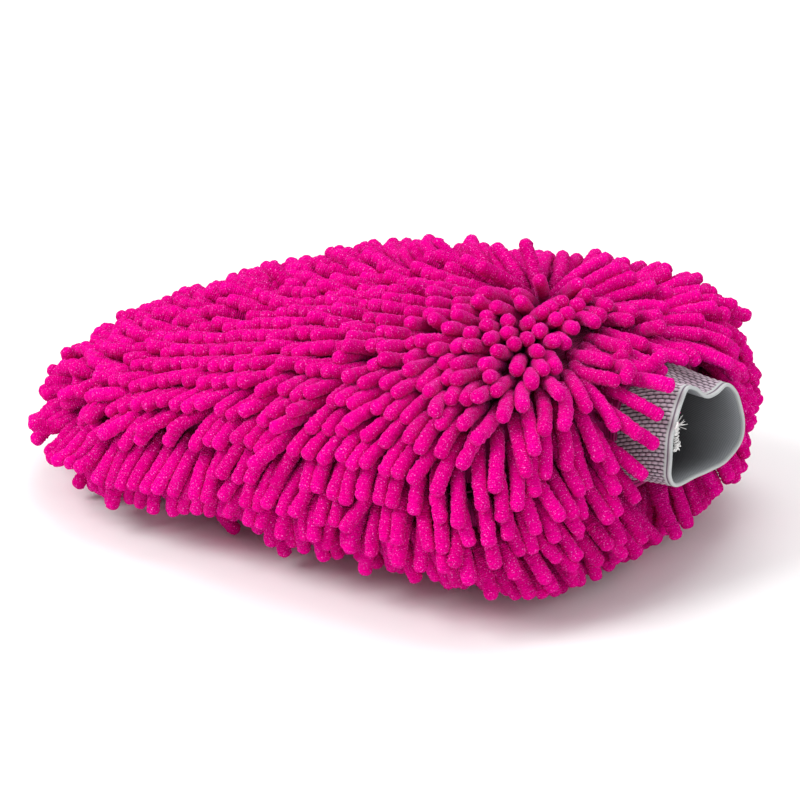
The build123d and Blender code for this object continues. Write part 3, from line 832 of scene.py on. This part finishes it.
def noodle_rings(chains):
    """Centres, directions and radii, as shares of the noodle's own, of each noodle's rings."""
    smooth = chains.copy()
    smooth[:, 1:-1] = chains[:, 1:-1] / 2 + (chains[:, :-2] + chains[:, 2:]) / 4
    shares = np.linspace(0, 1, BODY_RINGS)
    body = np.einsum("rk,nkc->nrc", spline_weights(shares), smooth)
    root_way = unit(body[:, 1] - body[:, 0])
    tip_way = unit(body[:, -1] - body[:, -2])
    centres, radii = [], []
    for depth in ROOT_CAP[::-1]:
        centres.append(body[:, 0] - root_way * depth * NOODLE_RADIUS)
        radii.append(math.sqrt(1 - depth ** 2))
    for ring in range(BODY_RINGS):
        centres.append(body[:, ring])
        radii.append(1.0)
    for depth in TIP_CAP:
        centres.append(body[:, -1] + tip_way * depth * NOODLE_RADIUS)
        radii.append((1 - depth ** TIP_POWER) ** (1 / TIP_POWER))
    centres = np.stack(centres, axis=1)
    ways = np.gradient(centres, axis=1)
    poles = body[:, 0] - root_way * NOODLE_RADIUS, body[:, -1] + tip_way * NOODLE_RADIUS
    return centres, unit(ways), np.array(radii), poles


def noodle_mesh(name, chains, dice):
    """One mesh of the round-ended noodles of a row, with their lumps and their ragged pile."""
    count = len(chains)
    centres, ways, radii, poles = noodle_rings(chains)
    rings = len(radii)
    side = unit(np.cross(ways[:, 0], dice.normal(0.0, 1.0, (count, 3))))
    sides = []
    for ring in range(rings):
        side = unit(side - ways[:, ring] * np.sum(side * ways[:, ring], axis=1, keepdims=True))
        sides.append(side)
    sides = np.stack(sides, axis=1)
    others = np.cross(ways, sides)
    angles = np.arange(AROUND) * 2 * math.pi / AROUND
    out = sides[:, :, None] * np.cos(angles)[:, None] + others[:, :, None] * np.sin(angles)[:, None]
    own = dice.normal(1.0, OWN_SPREAD, (count, 1, 1))
    lumps = np.cumsum(dice.normal(0.0, 1.0, (count, rings, 1)), axis=1)
    lumps -= lumps.mean(axis=1, keepdims=True)
    lumps = dice.normal(0.0, LUMP, (count, rings, 1)) + lumps * LUMP / rings ** 0.5 * SLOW_SHARE
    fuzz = dice.normal(0.0, FUZZ, (count, rings, AROUND))
    reach = (NOODLE_RADIUS * SKIN_SHARE * own + lumps + fuzz) * radii[None, :, None]
    skin = centres[:, :, None] + out * reach[..., None]
    points = np.concatenate([skin.reshape(count, -1, 3), np.stack(poles, axis=1)], axis=1)
    size = rings * AROUND + 2
    quads = grid_quads(rings, AROUND, closed=True)[:, ::-1]
    around = np.arange(AROUND)
    beside = (around + 1) % AROUND
    last = (rings - 1) * AROUND
    root_fan = np.stack([np.full(AROUND, size - 2), beside, around], axis=1)[:, ::-1]
    tip_fan = np.stack([np.full(AROUND, size - 1), last + around, last + beside], axis=1)[:, ::-1]
    shifts = np.arange(count)[:, None, None] * size
    quads = (quads[None] + shifts).reshape(-1, 4)
    fans = (np.concatenate([root_fan, tip_fan])[None] + shifts).reshape(-1, 3)
    mesh = quad_mesh(name, points.reshape(-1, 3), quads, fans)
    along = np.repeat(np.arange(rings), AROUND) / (rings - 1)
    along = np.concatenate([along, [0.0, 1.0]])
    add_attribute(mesh, "along", np.tile(along, count) + np.repeat(dice.uniform(0, CRIMP_SHIFT, count), size))
    add_attribute(mesh, "tone", np.repeat(dice.uniform(0, 1, count), size))
    add_attribute(mesh, "tip", np.tile(along, count))
    return mesh


# ---------------------------------------------------------------- materials

def principled(name, roughness, **sockets):
    """Matt material with a principled shader; each socket is named with _ for its spaces."""
    material = bpy.data.materials.new(name)
    material.use_nodes = True
    shader = material.node_tree.nodes["Principled BSDF"]
    shader.inputs["Roughness"].default_value = roughness
    for socket, value in sockets.items():
        shader.inputs[socket.replace("_", " ")].default_value = value
    return material


def add_node(material, kind, *inputs, **settings):
    """First output in use of a new node, its inputs given in order as numbers, colours or outputs."""
    node = material.node_tree.nodes.new("ShaderNode" + kind)
    for setting, value in settings.items():
        setattr(node, setting, value)
    sockets = [socket for socket in node.inputs if socket.enabled]
    for socket, value in zip(sockets, inputs):
        if isinstance(value, bpy.types.NodeSocket):
            material.node_tree.links.new(value, socket)
        elif value is not None:
            socket.default_value = value
    return next(socket for socket in node.outputs if socket.enabled)


def sum_of(material, one, scale, two):
    """one times scale plus two."""
    return add_node(material, "Math", one, scale, two, operation="MULTIPLY_ADD")


def wave_of(material, value, pitch, shift=0.0):
    """Sine of a value with this pitch."""
    return add_node(material, "Math", sum_of(material, value, 2 * math.pi / pitch, shift), operation="SINE")


def stretched(material, value, low, high, to_low=0.0, to_high=1.0):
    """Value from low to high taken to the other range, and held there."""
    return add_node(material, "MapRange", value, low, high, to_low, to_high)


def mixed(material, share, one, two):
    """Colour between one and two."""
    return add_node(material, "Mix", share, one, two, data_type="RGBA")


def value_of(material, attribute):
    """Value of a mesh attribute."""
    node = material.node_tree.nodes.new("ShaderNodeAttribute")
    node.attribute_name = attribute
    return node.outputs["Fac"]


def place_on(material):
    """The piece's own coordinates."""
    return material.node_tree.nodes.new("ShaderNodeTexCoord").outputs["Object"]


def noise(material, size, detail=2.0):
    """Noise with grains of this size."""
    return add_node(material, "TexNoise", place_on(material), 1 / size, detail)


def coloured(material, colour):
    """Link a colour to the shader."""
    shader = material.node_tree.nodes["Principled BSDF"]
    material.node_tree.links.new(colour, shader.inputs["Base Color"])


def bumped(material, height, depth, strength=0.8):
    """Link a height to the shader as a bump of this depth."""
    bump = material.node_tree.nodes.new("ShaderNodeBump")
    bump.inputs["Strength"].default_value = strength
    bump.inputs["Distance"].default_value = depth
    material.node_tree.links.new(height, bump.inputs["Height"])
    shader = material.node_tree.nodes["Principled BSDF"]
    material.node_tree.links.new(bump.outputs["Normal"], shader.inputs["Normal"])


FIBRE_GRAIN = 0.5 * MM
KNIT_GRAIN = 0.35 * MM
THREAD_GRAIN = 0.3 * MM
CRIMP_TURNS = 190.0  # radians of crimp along a noodle
INSIDE_ROW = 0.75 * MM
INSIDE_DOTS = 160  # round the cuff
BACKING_ROW = 1.1 * MM
LINING_ROW = 0.6 * MM


def chenille():
    """Short dense pile: bright magenta with painted shade towards the roots, paler ends of the fibres that
    are partly painted highlight, painted glints, and fine crimped ribs.
    """
    material = principled(
        "chenille_pile", 0.9, Specular_IOR_Level=0.0,
        Sheen_Weight=0.24, Sheen_Roughness=0.2, Sheen_Tint=(1.0, 0.24, 0.85, 1.0),
    )
    grain = noise(material, FIBRE_GRAIN, 4.0)
    body = mixed(material, value_of(material, "tone"), (0.64, 0.0, 0.19, 1.0), (0.78, 0.0, 0.26, 1.0))
    # Painted shade: the colour darkens to near black towards each noodle's root.
    out_of_root_shade = stretched(material, value_of(material, "tip"), 0.0, 0.45)
    with_root_shade = mixed(material, out_of_root_shade, (0.24, 0.0, 0.05, 1.0), body)
    # Paler ends of the fibres, scattered by the grain noise: partly the pile's own colour and partly a
    # painted highlight.
    pale_fibre_and_highlight = stretched(material, grain, 0.52, 0.78, 0.0, 0.55)
    pile = mixed(material, pale_fibre_and_highlight, with_root_shade, (1.0, 0.03, 0.56, 1.0))
    # Painted highlight: pale pink glints scattered by the grain noise.
    painted_glint = stretched(material, grain, 0.62, 0.76, 0.0, 0.9)
    coloured(material, mixed(material, painted_glint, pile, (1.0, 0.36, 0.85, 1.0)))
    twist = add_node(material, "Math", grain, 6.0, operation="MULTIPLY")
    turns = sum_of(material, value_of(material, "along"), CRIMP_TURNS, twist)
    crimp = add_node(material, "Math", turns, operation="SINE")
    bumped(material, sum_of(material, crimp, 0.3, grain), 0.4 * MM, 0.9)
    return material


def elastic_knit():
    """Grey ribbed knit: pinkish outside with painted shade in the gaps between the ribs, a pale smooth edge
    with painted shade in its groove, and fine rows inside that fade into painted shade deeper in.
    """
    material = principled("elastic_knit", 0.85, Specular_IOR_Level=0.2)
    relief_and_shade, face = value_of(material, "relief_and_shade"), value_of(material, "face")
    grain = noise(material, KNIT_GRAIN)
    # Painted shade: the knit darkens to near black where it is low, in the gaps between the ribs and between
    # their bumps.
    raised_out_of_shade = stretched(material, relief_and_shade, 0.12, 0.75)
    outside = mixed(material, raised_out_of_shade, (0.035, 0.022, 0.032, 1.0), (0.52, 0.43, 0.50, 1.0))
    # Painted shade: the smooth edge darkens in the groove beside the rim.
    hem_out_of_groove_shade = stretched(material, relief_and_shade, 0.2, 0.7)
    hem = mixed(material, hem_out_of_groove_shade, (0.13, 0.09, 0.13, 1.0), (0.46, 0.48, 0.48, 1.0))
    x = add_node(material, "SeparateXYZ", place_on(material))
    rows = wave_of(material, x, INSIDE_ROW)
    dots = wave_of(material, value_of(material, "around"), 1 / INSIDE_DOTS)
    weave = sum_of(material, add_node(material, "Math", rows, dots, operation="MULTIPLY"), 0.5, 0.5)
    lit = mixed(material, weave, (0.24, 0.255, 0.27, 1.0), (0.50, 0.52, 0.55, 1.0))
    # Painted shade: the fine rows inside fade to near black deeper in the cuff.
    inside = mixed(material, relief_and_shade, (0.02, 0.018, 0.02, 1.0), lit)
    on_edge = add_node(material, "Math", face, 0.5, operation="GREATER_THAN")
    on_inside = add_node(material, "Math", face, 1.5, operation="GREATER_THAN")
    colour = mixed(material, on_inside, mixed(material, on_edge, outside, hem), inside)
    coloured(material, colour)
    bumped(material, sum_of(material, weave, 0.5, grain), 0.12 * MM, 0.6)
    return material


def cloth(name, dark, light, pitch):
    """Fine knit or woven cloth."""
    material = principled(name, 0.85, Specular_IOR_Level=0.15, Sheen_Weight=0.1)
    grain = noise(material, 2 * pitch)
    x = add_node(material, "SeparateXYZ", place_on(material))
    rows = wave_of(material, x, pitch)
    coloured(material, mixed(material, grain, dark, light))
    bumped(material, sum_of(material, rows, 0.5, grain), pitch / 3)
    return material


def thread(name, colour, paler):
    """Spun thread, paler on its loose fibres."""
    material = principled(name, 0.8, Specular_IOR_Level=0.2, Sheen_Weight=0.3)
    grain = noise(material, THREAD_GRAIN, 3.0)
    coloured(material, mixed(material, grain, colour, paler))
    bumped(material, grain, 0.1 * MM)
    return material


# ---------------------------------------------------------------- the camera, the light and the floor

VIEW_AZIMUTH = math.radians(35.4)
VIEW_ELEVATION = math.radians(21.2)
VIEW_DISTANCE = 1.2885
VIEW_LENS = 161.3
SENSOR_WIDTH = 36.0
AIM_FROM_MIDDLE = Vector((9.80, -1.45, -12.58)) * MM
WORLD_STRENGTH = 0.6
FLOOR_RADIUS = 9.0
FLOOR_SIDES = 48
# name, place, width in metres and power in watts
LAMPS = (
    ("key_light", (-0.7, -1.3, 1.5), 1.1, 33.0),
    ("fill_light", (1.4, -0.8, 0.9), 1.2, 7.0),
    ("top_light", (0.0, 0.4, 1.8), 1.2, 14.0),
)


def add_camera():
    """The camera, looking down on the near side and the cuff."""
    level = math.cos(VIEW_ELEVATION)
    back = (math.sin(VIEW_AZIMUTH) * level, -math.cos(VIEW_AZIMUTH) * level, math.sin(VIEW_ELEVATION))
    back = Vector(back)
    lens = bpy.data.cameras.new("camera")
    lens.lens = VIEW_LENS
    lens.sensor_width = SENSOR_WIDTH
    camera = new_object("camera", lens)
    camera.location = CAD_MIDDLE + AIM_FROM_MIDDLE + back * VIEW_DISTANCE
    camera.rotation_mode = "QUATERNION"
    camera.rotation_quaternion = (-back).to_track_quat("-Z", "Y")
    bpy.context.scene.camera = camera


def add_lamp(name, place, size, power):
    """Square soft light that faces the mitt."""
    lamp = bpy.data.lights.new(name, "AREA")
    lamp.size = size
    lamp.energy = power
    light = new_object(name, lamp)
    light.location = place
    light.rotation_mode = "QUATERNION"
    light.rotation_quaternion = (-Vector(place)).to_track_quat("-Z", "Y")


def add_floor():
    """White floor that reaches past the picture."""
    angles = np.arange(FLOOR_SIDES) * 2 * math.pi / FLOOR_SIDES
    rim = np.stack([np.cos(angles), np.sin(angles), np.zeros(FLOOR_SIDES)], axis=1) * FLOOR_RADIUS
    mesh = bpy.data.meshes.new("floor")
    mesh.from_pydata(rim.tolist(), [], [list(range(FLOOR_SIDES))])
    floor = new_object("floor", mesh)
    mesh.materials.append(principled("paper", 0.8, Base_Color=(0.92, 0.92, 0.92, 1.0)))


def add_studio():
    """White floor, white surroundings and soft lights."""
    bpy.context.scene.view_settings.view_transform = "Standard"
    world = bpy.data.worlds.new("studio")
    world.use_nodes = True
    background = world.node_tree.nodes["Background"]
    background.inputs["Color"].default_value = (1.0, 1.0, 1.0, 1.0)
    background.inputs["Strength"].default_value = WORLD_STRENGTH
    bpy.context.scene.world = world
    add_floor()
    for name, place, size, power in LAMPS:
        add_lamp(name, place, size, power)


# ---------------------------------------------------------------- the mitt

def cloth_and_cuff_tree():
    """Search tree of the faces that the noodles lie on: both backings and the cuff."""
    backing_quads = grid_quads(SLEEVE_ROWS, SLEEVE_ANGLES)
    cuff_points, cuff_quads = cuff_skin()
    faces = [
        (cast_layer("upper_backing", True).reshape(-1, 3), backing_quads[:, ::-1]),
        (cast_layer("lower_backing", True).reshape(-1, 3), backing_quads),
        (cuff_points, cuff_quads[:, ::-1]),
    ]
    points, quads = np.zeros((0, 3)), []
    for own_points, own_quads in faces:
        quads += (own_quads + len(points)).tolist()
        points = np.concatenate([points, own_points])
    return BVHTree.FromPolygons(points.tolist(), quads)


def root_first(axes, tree):
    """The axes turned so that each starts at the end nearest the cloth."""
    turned = []
    for one, two in axes:
        gaps = [tree.find_nearest(end)[3] for end in (one, two)]
        turned.append((one, two) if gaps[0] < gaps[1] else (two, one))
    return np.array(turned)


def add_pile():
    """One piece of noodles for each knitted row."""
    tree = cloth_and_cuff_tree()
    names = [name for name in sorted(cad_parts) if "noodle" in name]
    rows = {name: root_first(rod_axes(name, NOODLE_RADIUS), tree) for name in names}
    chains = settle(np.concatenate(list(rows.values())), tree)
    material = chenille()
    dice = np.random.default_rng(SEED + 1)
    start = 0
    for name, axes in rows.items():
        own = chains[start:start + len(axes)]
        start += len(axes)
        piece_name = name.replace("noodle", "chenille")
        piece = new_object(piece_name, noodle_mesh(piece_name, own, dice))
        finish_piece(piece, material, "chenille_pile", name)


def add_cuff():
    """The elastic cuff, from its seam to its rim."""
    cuff = finish_piece(knitted_cuff(), elastic_knit(), "elastic_knit", "elastic_cuff")


def add_cloths():
    """Both halves of the backing and the lining."""
    cloths = {
        "backing": cloth("backing_knit", (0.30, 0.0, 0.10, 1.0), (0.45, 0.0, 0.16, 1.0), BACKING_ROW),
        "lining": cloth("lining_cloth", (0.26, 0.0, 0.09, 1.0), (0.38, 0.0, 0.14, 1.0), LINING_ROW),
    }
    for (side, layer), (flat, area) in LAYER_FLAT.items():
        node = side + "_" + layer
        piece = finish_piece(cloth_piece(node + "_cloth", node), cloths[layer], LAYER_SLOTS[layer], node)


def add_threads():
    """The stitches of both seams, and the cuff's own seam."""
    sewing_thread = thread("sewing_thread", (0.42, 0.0, 0.15, 1.0), (0.60, 0.02, 0.25, 1.0))
    for node in ("side_seam_stitching", "cuff_stitching"):
        stitches = tube_mesh(node + "_thread", stitch_paths(node), STITCH_STRAND)
        finish_piece(stitches, sewing_thread, "sewing_thread", node)
    overlock_thread = thread("overlock_thread", (0.62, 0.61, 0.60, 1.0), (0.86, 0.85, 0.84, 1.0))
    edge, wound, eye, frayed = cuff_seam()
    finish_piece(edge, overlock_thread, "overlock_thread")
    finish_piece(wound, overlock_thread, "overlock_thread", "cuff_seam_overlock")
    finish_piece(eye, overlock_thread, "overlock_thread")
    finish_piece(frayed, overlock_thread, "overlock_thread")


add_camera()
add_studio()
add_pile()
add_cuff()
add_cloths()
add_threads()
